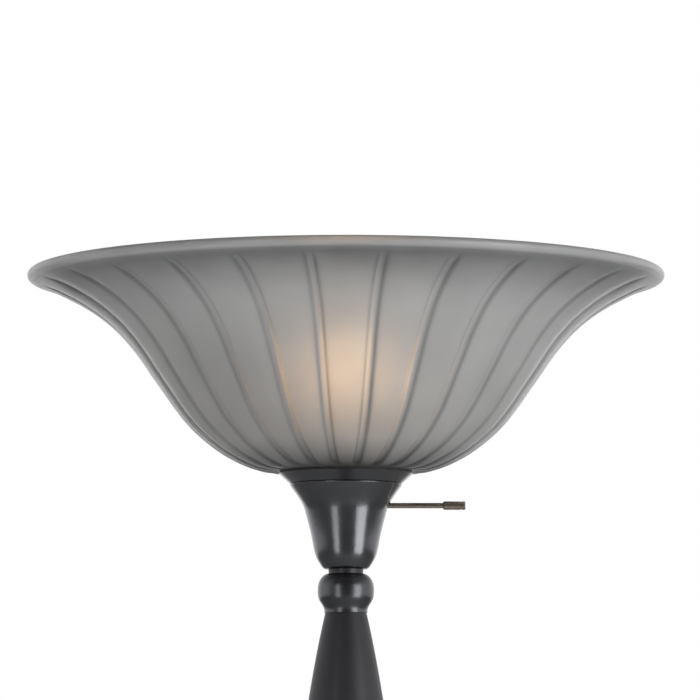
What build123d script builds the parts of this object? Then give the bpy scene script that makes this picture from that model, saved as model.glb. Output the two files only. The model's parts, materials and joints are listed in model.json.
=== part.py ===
"""Torchiere floor lamp: a fluted glass bowl on a turned, knock-down column with a weighted base.

Millimetres, +Z up. The origin is on the floor, on the column's axis. The switch knob points along +X and
the cord inlet opens along +Y. Every turned piece is stacked on a hollow tie rod in three lengths.
"""

import os
from math import cos, pi, radians, sin

from build123d import *

os.makedirs("parts", exist_ok=True)

# --- Stack of the column, from the floor up (heights) -------------------------------------------------
base_height = 66.0
pedestal_height = 132.0
foot_collar_height = 26.0
lower_vase_height = 226.0
lower_collar_height = 28.0
lower_shaft_length = 400.0
middle_ring_height = 22.0
upper_shaft_length = 397.0
upper_collar_height = 28.0
upper_vase_height = 250.4
neck_ball_height = 25.6
neck_spacer_height = 3.0
cup_height = 63.0
foot_band_height = 18.0
foot_roll_drop = 4.0
cover_shoulder_drop = 5.0
cover_step_height = 44.0
cover_step_drop = 4.0

# --- Radii of the turned pieces -----------------------------------------------------------------------
base_radius = 150.0
pedestal_foot_radius = 62.0
cover_top_margin = 3.0
cover_shoulder_reach = 6.0
cover_step_radius = 90.0
cover_bead_width = 2.5
pedestal_top_radius = 22.0
foot_collar_radius = 33.0
lower_vase_radius = 43.0
lower_vase_end_radius = 21.0
lower_vase_foot_radius = 22.0
lower_collar_radius = 31.0
shaft_bottom_radius = 20.5
shaft_middle_radius = 18.0
shaft_top_radius = 15.5
middle_ring_radius = 25.0
upper_collar_radius = 29.0
upper_vase_radius = 38.0
upper_vase_foot_radius = 19.0
upper_vase_neck_radius = 13.6
neck_ball_radius = 18.5
neck_ball_foot_step = 0.6
neck_ball_top_step = 1.2
neck_spacer_radius = 11.4
cup_floor_step = 1.0
cup_rim_radius = 44.1

# --- Sheet, tube and spigot sizes ---------------------------------------------------------------------
base_wall = 1.5
cup_wall = 1.5
cup_trim = 1.2
cup_rim_slope = 0.9
shaft_wall = 1.5
spigot_length = 8.0
spigot_clearance = 0.2

# --- Hollow tie rod, its couplings, nuts and washers --------------------------------------------------
rod_radius = 4.8
rod_bore_radius = 3.4
rod_clearance = 0.4
coupling_length = 24.0
hex_flats = 14.0
nut_height = 6.0
washer_radius = 10.0
washer_thickness = 1.0
nut_chamfer_width = 0.8
nut_chamfer_height = 0.5
rod_chamfer = 0.5
nut_gap = 0.5
nut_thread_clearance = 0.05

# --- Weight, felt and cord inlet ----------------------------------------------------------------------
felt_thickness = 2.0
felt_margin = 1.0
cover_floor_gap = 1.0
weight_thickness = 19.0
weight_hub_radius = 32.0
weight_pocket_radius = 22.0
weight_pocket_ceiling = 34.0
weight_edge_gap = 8.0
weight_rod_nut_radius = 18.0
channel_width = 14.0
channel_height = 14.0
inlet_height = 10.0
inlet_bore_radius = 3.6
inlet_body_radius = 4.9
inlet_flange_radius = 7.5
inlet_flange_thickness = 1.8
inlet_body_length = 9.0
inlet_clearance = 0.1

# --- Glass bowl and what clamps it --------------------------------------------------------------------
bowl_radius = 210.0
bowl_height = 131.4
glass_wall = 4.0
lip_thickness = 6.0
glass_hole_radius = 20.0
gasket_thickness = 1.6
gasket_width = 8.0
gasket_inset = 0.6
shade_washer_thickness = 1.5
shade_washer_radius = 27.5
shade_ring_radius = 26.0
shade_ring_flange = 2.0
shade_ring_seat_gap = 0.2
shade_ring_height = 7.0
shade_ring_hub_radius = 22.0
shade_ring_notches = 12
shade_ring_notch_radius = 2.0
shade_ring_notch_offset = 0.9
shade_washer_clearance = 0.6

# --- Lamp socket with its turn switch -----------------------------------------------------------------
switch_drop = 21.0
shell_radius = 17.0
shell_wall = 0.8
shell_height = 45.0
shell_below_switch = 9.0
shell_thread_radius = 18.4
shell_thread_depth = 0.6
shell_thread_pitch = 2.1
shell_thread_length = 17.0
thread_clearance = 0.3
cap_wall = 0.8
cap_hub_radius = 8.0
cap_hub_height = 9.0
cap_clearance = 0.3
cap_edge_radius = 0.7
liner_gap = 0.1
liner_wall = 0.6
liner_end_gap = 1.0
body_gap = 0.2
body_below_switch = 9.0
body_above_switch = 8.0
terminal_flat = 11.4
terminal_head_radius = 3.0
terminal_head_thickness = 2.0
terminal_shank_radius = 1.4
terminal_shank_length = 4.0
terminal_drop = 5.0
screw_slot_width = 0.8
screw_slot_depth = 0.8
set_screw_radius = 1.5
set_screw_stand = 1.5
set_screw_slot = 0.5

# --- Switch key ---------------------------------------------------------------------------------------
rotor_radius = 5.9
rotor_length = 12.0
rotor_gap = 0.4
rotor_notch_width = 2.4
rotor_notch_height = 1.6
stem_radius = 1.75
stem_bearing_clearance = 0.15
stem_slot_clearance = 0.6
stem_reach = 64.0
knob_radius = 2.8
knob_length = 14.5
knob_bore_depth = 5.0
knob_chamfer = 0.4
knob_fit_clearance = 0.02
knob_groove_depth = 0.35
knob_groove_width = 0.8
knob_groove_setback = 3.0
cup_hole_radius = 3.2

# --- Bulb ---------------------------------------------------------------------------------------------
bulb_length = 110.0
bulb_radius = 30.0
bulb_wall = 0.8
bulb_cap_length = 25.0
bulb_thread_radius = 13.0
bulb_thread_depth = 0.8
bulb_thread_pitch = 3.63
bulb_cap_wall = 0.5
bulb_contact_radius = 4.4
bulb_contact_height = 1.4
bulb_ring_contact_radius = 8.2
bulb_ring_contact_width = 3.0
bulb_ring_contact_thickness = 0.6
bulb_insulator_radius = 9.6
bulb_insulator_height = 4.4
bulb_insulator_edge = 1.2
bulb_cap_seam = 0.1
bulb_cap_lip = 1.2
bulb_cap_shoulder = 1.6
bulb_cap_thread_start = 2.4
bulb_cap_foot = 3.0
bulb_neck_gap = 0.2
bulb_neck_tuck = 6.0
bulb_neck_swell = 3.4
bulb_neck_rise = 12.0
globe_join = -25.0
screw_shell_clearance = 0.25
screw_shell_wall = 0.5
screw_shell_setback = 1.5
screw_shell_thread_start = 2.5
screw_shell_hole_margin = 1.5
contact_gap = 0.3
centre_contact_margin = 1.4
centre_contact_chamfer = 0.4
ring_contact_width = 2.0
ring_contact_length = 4.0
ring_contact_corner = 0.5
filament_height = 80.0
filament_span = 9.0
filament_wire_radius = 0.5
filament_foot = 1.4
filament_bend_radius = 2.0
bulb_stem_radius = 8.0
bulb_stem_height = 34.0
bulb_stem_tuck = 4.0

# --- Inner leads --------------------------------------------------------------------------------------
lead_radius = 1.3
lead_gap = 0.15
lead_bend_radius = 5.5
lead_foot_bend_radius = 13.0
lead_above_rod = 3.0
lead_bend_rise = 5.0
lead_end_gap = 3.0

# --- Small allowances shared by several pieces --------------------------------------------------------
over_cut = 1.0
rod_past_cap = 1.0
base_nut_gap = 3.0
contact_lift = 2.0

# --- Heights worked out from the stack ----------------------------------------------------------------
z_base = base_height
z_pedestal = z_base + pedestal_height
z_foot_collar = z_pedestal + foot_collar_height
z_lower_vase = z_foot_collar + lower_vase_height
z_lower_collar = z_lower_vase + lower_collar_height
z_lower_shaft = z_lower_collar + lower_shaft_length
z_middle_ring = z_lower_shaft + middle_ring_height
z_upper_shaft = z_middle_ring + upper_shaft_length
z_upper_collar = z_upper_shaft + upper_collar_height
z_upper_vase = z_upper_collar + upper_vase_height
z_neck_ball = z_upper_vase + neck_ball_height
z_cup_foot = z_neck_ball + neck_spacer_height
z_cup_rim = z_cup_foot + cup_height
z_glass_floor = z_cup_rim + gasket_thickness
z_switch = z_cup_rim - switch_drop

bore_radius = rod_radius + rod_clearance
cover_top_radius = pedestal_foot_radius + cover_top_margin
z_cup_washer = z_cup_foot + cup_wall + washer_thickness
z_cup_nut = z_cup_washer + nut_height
z_cap_hub = z_cup_nut + nut_gap
z_cap_floor = z_cap_hub + cap_hub_height
z_cap_top = z_switch - stem_radius - stem_slot_clearance - cap_clearance
z_rod_top = z_cap_floor + cap_wall + rod_past_cap
z_upper_rod_nut = z_upper_shaft - spigot_length - nut_height
z_upper_rod_end = z_upper_rod_nut - nut_gap - coupling_length / 2
z_middle_rod_nut = z_lower_shaft - spigot_length - nut_height
z_middle_rod_end = z_middle_rod_nut - nut_gap - coupling_length / 2
z_lower_rod_end = weight_pocket_ceiling - washer_thickness - nut_height - base_nut_gap
z_shell_foot = z_switch - shell_below_switch
z_shell_top = z_shell_foot + shell_height
z_body_foot = z_switch - body_below_switch
z_body_top = z_switch + body_above_switch
z_contact = z_body_top + screw_shell_wall + contact_lift
body_radius = shell_radius - shell_wall - liner_gap - liner_wall - body_gap

# Radius, as a share of the piece's largest, and height, as a share of its own, up each turned side
CUP_SIDE = (
    (0.375, 0.045), (0.435, 0.115), (0.475, 0.205), (0.520, 0.365),
    (0.590, 0.560), (0.690, 0.735), (0.832, 0.885),
)  # fmt: skip
BALL_SIDE = ((0.800, 0.150), (0.955, 0.345), (1.000, 0.560), (0.955, 0.790), (0.790, 0.960))
UPPER_VASE_SIDE = (
    (0.660, 0.045), (0.850, 0.100), (0.975, 0.185), (1.000, 0.285), (0.965, 0.400),
    (0.870, 0.540), (0.750, 0.672), (0.640, 0.778), (0.530, 0.874),
)  # fmt: skip
LOWER_VASE_SIDE = (
    (0.640, 0.055), (0.860, 0.135), (0.985, 0.245), (1.000, 0.340), (0.930, 0.480),
    (0.780, 0.640), (0.620, 0.790), (0.510, 0.920),
)  # fmt: skip
PEDESTAL_SIDE = ((0.690, 0.090), (0.545, 0.230), (0.440, 0.430), (0.380, 0.680))
BOWL_SIDE = (
    (0.071, 0.008), (0.199, 0.075), (0.331, 0.203), (0.498, 0.482),
    (0.583, 0.641), (0.665, 0.761), (0.767, 0.864), (0.870, 0.938),
)  # fmt: skip
BULB_STEM_SIDE = ((0.45, 0.35), (0.40, 0.75), (0.45, 1.00))

# Beads of the turned rings: height share, bead height and share of the ring's radius
FOOT_COLLAR_BEADS = ((0.20, 8.0, 1.00), (0.70, 12.0, 0.85))
LOWER_COLLAR_BEADS = ((0.22, 7.0, 0.81), (0.62, 10.0, 1.00))
MIDDLE_RING_BEADS = ((0.20, 6.0, 0.84), (0.50, 10.0, 1.00), (0.80, 6.0, 0.84))
UPPER_COLLAR_BEADS = ((0.30, 10.0, 1.00), (0.74, 7.0, 0.83))

# Steps of the cast weight: shares of its radius and of its thickness
WEIGHT_STEPS = ((1.00, 0.34), (0.83, 0.68), (0.62, 1.00))

# A thread's crest and root, as shares of its pitch: end of the crest, start and end of the root
THREAD_SHARES = (0.25, 0.55, 0.80)


def side_points(shape, radius, foot, height):
    """Turn a side given in shares into (radius, height) points."""
    return [(radius * share, foot + height * up) for share, up in shape]


def turned_profile(side, foot, top, bore):
    """A closed half section between a bore and a smooth side from the foot to the top."""
    with BuildSketch(Plane.XZ) as profile:
        with BuildLine():
            edge = Spline(*side)
            Polyline(edge @ 1, (bore, top), (bore, foot), edge @ 0)
        make_face()
    return profile.sketch


def ring_profile(inner, outer, foot, top):
    """A rectangular half section from one radius to another."""
    with BuildSketch(Plane.XZ) as profile:
        with Locations(((inner + outer) / 2, (foot + top) / 2)):
            Rectangle(outer - inner, top - foot)
    return profile.sketch


def sheet_profile(outline, wall, side):
    """The closed half section of a sheet with one face along an outline and its wall to one side."""
    with BuildSketch(Plane.XZ) as profile:
        with BuildLine():
            add(outline)
            offset(amount=wall, side=side)
        make_face()
    return profile.sketch.face().to_splines()


def beads_profile(beads, ring, foot, top, waist):
    """A ring stack: a bored waist with half-round beads, whose radii are shares of the ring's radius."""
    with BuildSketch(Plane.XZ) as profile:
        with Locations(((bore_radius + waist) / 2, (foot + top) / 2)):
            Rectangle(waist - bore_radius, top - foot)
        for height_share, thickness, radius_share in beads:
            z = foot + height_share * (top - foot)
            edge = ring * radius_share - thickness / 2
            with Locations(((bore_radius + edge) / 2, z)):
                Rectangle(edge - bore_radius, thickness)
            with Locations((edge, z)):
                Circle(thickness / 2)
    return profile.sketch


def save(piece, name):
    """Label a finished piece and write it as one STEP file."""
    piece.part.label = name
    export_step(piece.part, f"parts/{name}.step")


# === Column ===========================================================================================
with BuildPart() as pedestal:
    side = [
        (pedestal_foot_radius, z_base),
        *side_points(PEDESTAL_SIDE, pedestal_foot_radius, z_base, pedestal_height),
        (pedestal_top_radius, z_pedestal),
    ]
    revolve(turned_profile(side, z_base, z_pedestal, bore_radius), axis=Axis.Z)
save(pedestal, "pedestal")

with BuildPart() as foot_collar:
    stack = beads_profile(
        FOOT_COLLAR_BEADS, foot_collar_radius, z_pedestal, z_foot_collar, pedestal_top_radius
    )
    revolve(stack, axis=Axis.Z)
save(foot_collar, "foot_collar")

with BuildPart() as lower_vase:
    side = [
        (lower_vase_foot_radius, z_foot_collar),
        *side_points(LOWER_VASE_SIDE, lower_vase_radius, z_foot_collar, lower_vase_height),
        (lower_vase_end_radius, z_lower_vase),
    ]
    revolve(turned_profile(side, z_foot_collar, z_lower_vase, bore_radius), axis=Axis.Z)
save(lower_vase, "lower_vase")


def shaft_tube(foot, top, foot_radius, top_radius):
    """A tapered tube's half section."""
    with BuildSketch(Plane.XZ) as profile:
        with BuildLine():
            Polyline(
                (foot_radius - shaft_wall, foot),
                (foot_radius, foot),
                (top_radius, top),
                (top_radius - shaft_wall, top),
                close=True,
            )
        make_face()
    return profile.sketch


def spigot(shaft_radius, shaft_end, direction):
    """The half section of a spigot that centres a shaft's end, reaching into it up (1) or down (-1)."""
    outer = shaft_radius - shaft_wall - spigot_clearance
    low, high = sorted((shaft_end, shaft_end + direction * spigot_length))
    return ring_profile(bore_radius, outer, low, high)


with BuildPart() as lower_collar:
    stack = beads_profile(
        LOWER_COLLAR_BEADS, lower_collar_radius, z_lower_vase, z_lower_collar, lower_vase_end_radius
    )
    revolve(stack, axis=Axis.Z)
    revolve(spigot(shaft_bottom_radius, z_lower_collar, 1), axis=Axis.Z)
save(lower_collar, "lower_collar")

with BuildPart() as lower_shaft:
    revolve(
        shaft_tube(z_lower_collar, z_lower_shaft, shaft_bottom_radius, shaft_middle_radius),
        axis=Axis.Z,
    )
save(lower_shaft, "lower_shaft")

with BuildPart() as middle_ring:
    stack = beads_profile(
        MIDDLE_RING_BEADS, middle_ring_radius, z_lower_shaft, z_middle_ring, shaft_middle_radius
    )
    revolve(stack, axis=Axis.Z)
    revolve(spigot(shaft_middle_radius, z_lower_shaft, -1), axis=Axis.Z)
    revolve(spigot(shaft_middle_radius, z_middle_ring, 1), axis=Axis.Z)
save(middle_ring, "middle_ring")

with BuildPart() as upper_shaft:
    revolve(
        shaft_tube(z_middle_ring, z_upper_shaft, shaft_middle_radius, shaft_top_radius),
        axis=Axis.Z,
    )
save(upper_shaft, "upper_shaft")

with BuildPart() as upper_collar:
    stack = beads_profile(
        UPPER_COLLAR_BEADS, upper_collar_radius, z_upper_shaft, z_upper_collar, upper_vase_foot_radius
    )
    revolve(stack, axis=Axis.Z)
    revolve(spigot(shaft_top_radius, z_upper_shaft, -1), axis=Axis.Z)
save(upper_collar, "upper_collar")

with BuildPart() as upper_vase:
    side = [
        (upper_vase_foot_radius, z_upper_collar),
        *side_points(UPPER_VASE_SIDE, upper_vase_radius, z_upper_collar, upper_vase_height),
        (upper_vase_neck_radius, z_upper_vase),
    ]
    revolve(turned_profile(side, z_upper_collar, z_upper_vase, bore_radius), axis=Axis.Z)
save(upper_vase, "upper_vase")

with BuildPart() as neck_ball:
    side = [
        (upper_vase_neck_radius + neck_ball_foot_step, z_upper_vase),
        *side_points(BALL_SIDE, neck_ball_radius, z_upper_vase, neck_ball_height),
        (neck_spacer_radius + neck_ball_top_step, z_neck_ball),
    ]
    revolve(turned_profile(side, z_upper_vase, z_neck_ball, bore_radius), axis=Axis.Z)
save(neck_ball, "neck_ball")

with BuildPart() as neck_spacer:
    revolve(
        ring_profile(bore_radius, neck_spacer_radius, z_neck_ball, z_cup_foot),
        axis=Axis.Z,
    )
save(neck_spacer, "neck_spacer")

# === Cup: a spun shell trimmed flat at its rim, with a hole for the switch stem =======================
with BuildLine() as cup_outline:
    floor = Line((bore_radius, z_cup_foot), (neck_spacer_radius + cup_floor_step, z_cup_foot))
    Spline(
        floor @ 1,
        *side_points(CUP_SIDE, cup_rim_radius, z_cup_foot, cup_height),
        (cup_rim_radius + cup_trim, z_cup_rim + cup_rim_slope * cup_trim),
        tangents=((1, 0), (1, cup_rim_slope)),
    )

with BuildPart() as socket_cup:
    revolve(sheet_profile(cup_outline.line, cup_wall, Side.LEFT), axis=Axis.Z)
    trimmed = ring_profile(0, cup_rim_radius + 2 * cup_trim, z_cup_rim, z_cup_rim + 4 * cup_trim)
    revolve(trimmed, axis=Axis.Z, mode=Mode.SUBTRACT)
    with BuildSketch(Plane.YZ):
        with Locations((0, z_switch)):
            Circle(cup_hole_radius)
    extrude(amount=cup_rim_radius, mode=Mode.SUBTRACT)
save(socket_cup, "socket_cup")

# === Base: spun cover, cast weight, felt and cord inlet ===============================================
with BuildLine() as cover_outline:
    Line((bore_radius, z_base), (cover_top_radius, z_base))
    shoulder = Spline(
        (cover_top_radius, z_base),
        (cover_top_radius + cover_shoulder_reach, z_base - cover_shoulder_drop),
        (cover_step_radius, cover_step_height),
        tangents=((1, 0), (1, -0.25)),
    )
    step = Line(shoulder @ 1, shoulder @ 1 - Vector(0, cover_step_drop))
    dome = Spline(
        step @ 1,
        (0.80 * base_radius, 0.46 * base_height),
        (0.93 * base_radius, foot_band_height + foot_roll_drop),
        tangents=((1, -0.1), (0.6, -1)),
    )
    bead = Line(dome @ 1, dome @ 1 + Vector(cover_bead_width, 0))
    roll = Spline(
        bead @ 1,
        (0.985 * base_radius, foot_band_height + base_wall),
        (base_radius, foot_band_height - foot_roll_drop),
        tangents=((1, 0), (0, -1)),
    )
    Line(roll @ 1, (base_radius, cover_floor_gap))

with BuildPart() as base_cover:
    revolve(sheet_profile(cover_outline.line, base_wall, Side.RIGHT), axis=Axis.Z)
    with BuildSketch(Plane.XZ):
        with Locations((0, inlet_height)):
            Circle(inlet_body_radius + inlet_clearance)
    extrude(amount=-base_radius - over_cut, mode=Mode.SUBTRACT)
save(base_cover, "base_cover")

with BuildPart() as base_felt:
    Cylinder(
        base_radius - base_wall - felt_margin,
        felt_thickness,
        align=(Align.CENTER, Align.CENTER, Align.MIN),
    )
save(base_felt, "base_felt")

weight_radius = base_radius - base_wall - weight_edge_gap
with BuildPart() as base_weight:
    hub = ring_profile(bore_radius, weight_hub_radius, felt_thickness, z_base - base_wall)
    revolve(hub, axis=Axis.Z)
    for radius_share, height_share in WEIGHT_STEPS:
        step_top = felt_thickness + height_share * weight_thickness
        step = ring_profile(bore_radius, radius_share * weight_radius, felt_thickness, step_top)
        revolve(step, axis=Axis.Z)
    revolve(
        ring_profile(0, weight_pocket_radius, felt_thickness, weight_pocket_ceiling),
        axis=Axis.Z,
        mode=Mode.SUBTRACT,
    )
    with BuildSketch(Plane.XY.offset(felt_thickness)):
        with Locations((0, weight_radius / 2)):
            Rectangle(channel_width, weight_radius + 2 * over_cut)
    extrude(amount=channel_height, mode=Mode.SUBTRACT)
save(base_weight, "base_weight")

with BuildPart() as cord_inlet:
    with BuildSketch(Plane.XZ.offset(-base_radius)) as flange:
        with Locations((0, inlet_height)):
            Circle(inlet_flange_radius)
    extrude(amount=-inlet_flange_thickness)
    with BuildSketch(Plane.XZ.offset(-base_radius)):
        with Locations((0, inlet_height)):
            Circle(inlet_body_radius)
    extrude(amount=inlet_body_length)
    fillet(edges().sort_by(Axis.Y)[-1], inlet_flange_thickness / 2)
    with BuildSketch(Plane.XZ.offset(-base_radius + inlet_body_length)):
        with Locations((0, inlet_height)):
            Circle(inlet_bore_radius)
    extrude(
        amount=-inlet_body_length - inlet_flange_thickness,
        mode=Mode.SUBTRACT,
    )
save(cord_inlet, "cord_inlet")

# === Tie rod, couplings, nuts and washers =============================================================


def rod_length(name, foot, top):
    """Write one length of the hollow tie rod."""
    with BuildPart() as rod:
        revolve(ring_profile(rod_bore_radius, rod_radius, foot, top), axis=Axis.Z)
        rims = rod.edges().filter_by(GeomType.CIRCLE).group_by(SortBy.RADIUS)[-1]
        chamfer(rims, rod_chamfer)
    save(rod, name)


def hexagon(foot, height):
    """A chamfered hexagon nut with a clear bore, standing at a height."""
    with BuildPart() as nut:
        with BuildSketch(Plane.XY.offset(foot)):
            RegularPolygon(hex_flats / 2, 6, major_radius=False)
            Circle(rod_radius + nut_thread_clearance, mode=Mode.SUBTRACT)
        extrude(amount=height)
        corner = hex_flats / 2 / cos(pi / 6)
        with BuildSketch(Plane.XZ) as cone:
            with BuildLine():
                Polyline(
                    (0, foot),
                    (corner - nut_chamfer_width, foot),
                    (corner, foot + nut_chamfer_height),
                    (corner, foot + height - nut_chamfer_height),
                    (corner - nut_chamfer_width, foot + height),
                    (0, foot + height),
                    close=True,
                )
            make_face()
        revolve(cone.sketch, axis=Axis.Z, mode=Mode.INTERSECT)
    return nut.part


def washer(foot, outer):
    """A plain washer lying at a height."""
    with BuildPart() as plain:
        profile = ring_profile(bore_radius, outer, foot, foot + washer_thickness)
        revolve(profile, axis=Axis.Z)
    return plain.part


rod_length("lower_rod", z_lower_rod_end, z_middle_rod_end)
rod_length("middle_rod", z_middle_rod_end + nut_gap, z_upper_rod_end)
rod_length("upper_rod", z_upper_rod_end + nut_gap, z_rod_top)

with BuildPart() as rod_couplings:
    add(hexagon(z_middle_rod_end - coupling_length / 2, coupling_length))
    add(hexagon(z_upper_rod_end - coupling_length / 2, coupling_length))
save(rod_couplings, "rod_couplings")

with BuildPart() as rod_locknuts:
    add(hexagon(z_middle_rod_nut, nut_height))
    add(hexagon(z_upper_rod_nut, nut_height))
save(rod_locknuts, "rod_locknuts")

z_weight_washer = weight_pocket_ceiling - washer_thickness
with BuildPart() as base_washer:
    add(washer(z_weight_washer, weight_rod_nut_radius))
save(base_washer, "base_washer")

with BuildPart() as base_nut:
    add(hexagon(z_weight_washer - nut_height, nut_height))
save(base_nut, "base_nut")

with BuildPart() as cup_washer:
    add(washer(z_cup_foot + cup_wall, washer_radius))
save(cup_washer, "cup_washer")

with BuildPart() as cup_nut:
    add(hexagon(z_cup_washer, nut_height))
save(cup_nut, "cup_nut")

# === Glass bowl =======================================================================================
lip_radius = lip_thickness / 2
lip_centre = (bowl_radius - lip_radius, z_glass_floor + bowl_height - lip_radius)
bowl_start = cup_rim_radius
bowl_span = lip_centre[0] - bowl_start
bowl_rise = bowl_height - lip_thickness

with BuildLine() as bowl_curve:
    Spline(
        (bowl_start, z_glass_floor),
        *[(bowl_start + bowl_span * out, z_glass_floor + bowl_rise * up) for out, up in BOWL_SIDE],
        (lip_centre[0], z_glass_floor + bowl_rise),
        tangents=((1, 0), (1, 0.2)),
    )

with BuildLine() as bowl_outline:
    Line((glass_hole_radius, z_glass_floor), (bowl_start, z_glass_floor))
    add(bowl_curve.line)

with BuildPart() as glass_shade:
    revolve(sheet_profile(bowl_outline.line, glass_wall, Side.LEFT), axis=Axis.Z)
    with BuildSketch(Plane.XZ):
        with Locations(lip_centre):
            Circle(lip_radius)
    revolve(axis=Axis.Z)
save(glass_shade, "glass_shade")

with BuildPart() as shade_gasket:
    outer = cup_rim_radius - gasket_inset
    revolve(
        ring_profile(outer - gasket_width, outer, z_cup_rim, z_glass_floor),
        axis=Axis.Z,
    )
save(shade_gasket, "shade_gasket")

z_washer = z_glass_floor + glass_wall
z_washer_top = z_washer + shade_washer_thickness
z_shade_ring = z_washer_top + shade_ring_seat_gap
ring_bore = shell_thread_radius + thread_clearance
with BuildPart() as shade_washer:
    washer_bore = ring_bore + shade_washer_clearance
    revolve(ring_profile(washer_bore, shade_washer_radius, z_washer, z_washer_top), axis=Axis.Z)
save(shade_washer, "shade_washer")

with BuildPart() as shade_ring:
    revolve(
        ring_profile(ring_bore, shade_ring_radius, z_shade_ring, z_shade_ring + shade_ring_flange),
        axis=Axis.Z,
    )
    revolve(
        ring_profile(ring_bore, shade_ring_hub_radius, z_shade_ring, z_shade_ring + shade_ring_height),
        axis=Axis.Z,
    )
    with BuildSketch(Plane.XY.offset(z_shade_ring + shade_ring_flange)):
        with PolarLocations(shade_ring_hub_radius + shade_ring_notch_offset, shade_ring_notches):
            Circle(shade_ring_notch_radius)
    extrude(amount=shade_ring_height, mode=Mode.SUBTRACT)
save(shade_ring, "shade_ring")


# === Lamp socket ======================================================================================
def thread_points(crest, root, pitch, foot, top):
    """Points up the side of a flat-topped thread, from a crest at the foot to a root at the top."""
    turns = int((top - foot) / pitch)
    step = (top - foot) / turns
    crest_end, root_start, root_end = THREAD_SHARES
    points = []
    for turn in range(turns):
        z = foot + turn * step
        points += [(crest, z), (crest, z + crest_end * step)]
        points += [(root, z + root_start * step), (root, z + root_end * step)]
    return [*points, (root, top)]


with BuildPart() as socket_shell:
    shell_inner = shell_radius - shell_wall
    revolve(ring_profile(shell_inner, shell_radius, z_shell_foot, z_shell_top), axis=Axis.Z)
    thread_foot = z_shell_top - shell_thread_length
    thread_root = shell_thread_radius - shell_thread_depth
    ridges = thread_points(
        shell_thread_radius, thread_root, shell_thread_pitch, thread_foot, z_shell_top
    )
    with BuildSketch(Plane.XZ):
        with BuildLine():
            Polyline(*ridges, (shell_inner, z_shell_top), (shell_inner, thread_foot), close=True)
        make_face()
    revolve(axis=Axis.Z)
    slot_radius = stem_radius + stem_slot_clearance
    with BuildSketch(Plane.YZ):
        with Locations((0, z_switch)):
            Circle(slot_radius)
        with Locations((0, (z_switch + z_shell_foot - over_cut) / 2)):
            Rectangle(2 * slot_radius, z_switch - z_shell_foot + over_cut)
    extrude(amount=2 * shell_radius, mode=Mode.SUBTRACT)
save(socket_shell, "socket_shell")

with BuildPart() as socket_liner:
    liner_outer = shell_radius - shell_wall - liner_gap
    liner_foot = z_shell_foot + liner_end_gap
    liner_top = z_shell_top - liner_end_gap
    revolve(ring_profile(liner_outer - liner_wall, liner_outer, liner_foot, liner_top), axis=Axis.Z)
    with BuildSketch(Plane.YZ):
        with Locations((0, z_switch)):
            Circle(slot_radius)
        with Locations((0, (z_switch + liner_foot - over_cut) / 2)):
            Rectangle(2 * slot_radius, z_switch - liner_foot + over_cut)
    extrude(amount=shell_radius, mode=Mode.SUBTRACT)
save(socket_liner, "socket_liner")

cap_inner = shell_radius + cap_clearance
with BuildPart() as socket_cap:
    revolve(ring_profile(cap_inner, cap_inner + cap_wall, z_cap_floor, z_cap_top), axis=Axis.Z)
    revolve(
        ring_profile(bore_radius, cap_inner + cap_wall, z_cap_floor, z_cap_floor + cap_wall),
        axis=Axis.Z,
    )
    revolve(
        ring_profile(rod_radius + nut_thread_clearance, cap_hub_radius, z_cap_hub, z_cap_floor),
        axis=Axis.Z,
    )
    cap_rims = socket_cap.edges().filter_by(GeomType.CIRCLE).group_by(SortBy.RADIUS)[-1]
    fillet(cap_rims.sort_by(Axis.Z)[0], cap_edge_radius)
    with BuildSketch(Plane.XZ):
        with Locations((0, z_cap_hub + cap_hub_height / 2)):
            Circle(set_screw_radius)
    extrude(amount=cap_hub_radius, mode=Mode.SUBTRACT)
save(socket_cap, "socket_cap")

with BuildPart() as socket_set_screw:
    with BuildSketch(Plane.XZ.offset(rod_radius)):
        with Locations((0, z_cap_hub + cap_hub_height / 2)):
            Circle(set_screw_radius)
    extrude(amount=cap_hub_radius + set_screw_stand - rod_radius)
    with BuildSketch(Plane.XZ.offset(cap_hub_radius + set_screw_stand)):
        with Locations((0, z_cap_hub + cap_hub_height / 2)):
            Rectangle(2 * set_screw_radius, set_screw_slot)
    extrude(amount=-screw_slot_depth, mode=Mode.SUBTRACT)
save(socket_set_screw, "socket_set_screw")


def body_half(foot, top):
    """One moulded half of the switch body: a flatted disc with half the rotor's chamber."""
    with BuildPart() as half:
        with BuildSketch(Plane.XY.offset(foot)):
            Circle(body_radius)
            Rectangle(2 * body_radius, 2 * terminal_flat, mode=Mode.INTERSECT)
        extrude(amount=top - foot)
        with BuildSketch(Plane.YZ.offset(-rotor_length / 2 - rotor_gap)):
            with Locations((0, z_switch)):
                Circle(rotor_radius + rotor_gap)
        extrude(amount=rotor_length + 2 * rotor_gap, mode=Mode.SUBTRACT)
        with BuildSketch(Plane.YZ):
            with Locations((0, z_switch)):
                Circle(stem_radius + stem_bearing_clearance)
        extrude(amount=body_radius + over_cut, mode=Mode.SUBTRACT)
    return half.part


z_terminal = z_switch - terminal_drop
with BuildPart() as switch_body:
    add(body_half(z_body_foot, z_switch))
    for side_sign in (-1, 1):
        with BuildSketch(Plane.XZ.offset(-side_sign * terminal_flat)):
            with Locations((0, z_terminal)):
                Circle(terminal_shank_radius)
        extrude(amount=side_sign * terminal_shank_length, mode=Mode.SUBTRACT)
save(switch_body, "switch_body")

with BuildPart() as switch_cover:
    add(body_half(z_switch, z_body_top))
save(switch_cover, "switch_cover")

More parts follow.
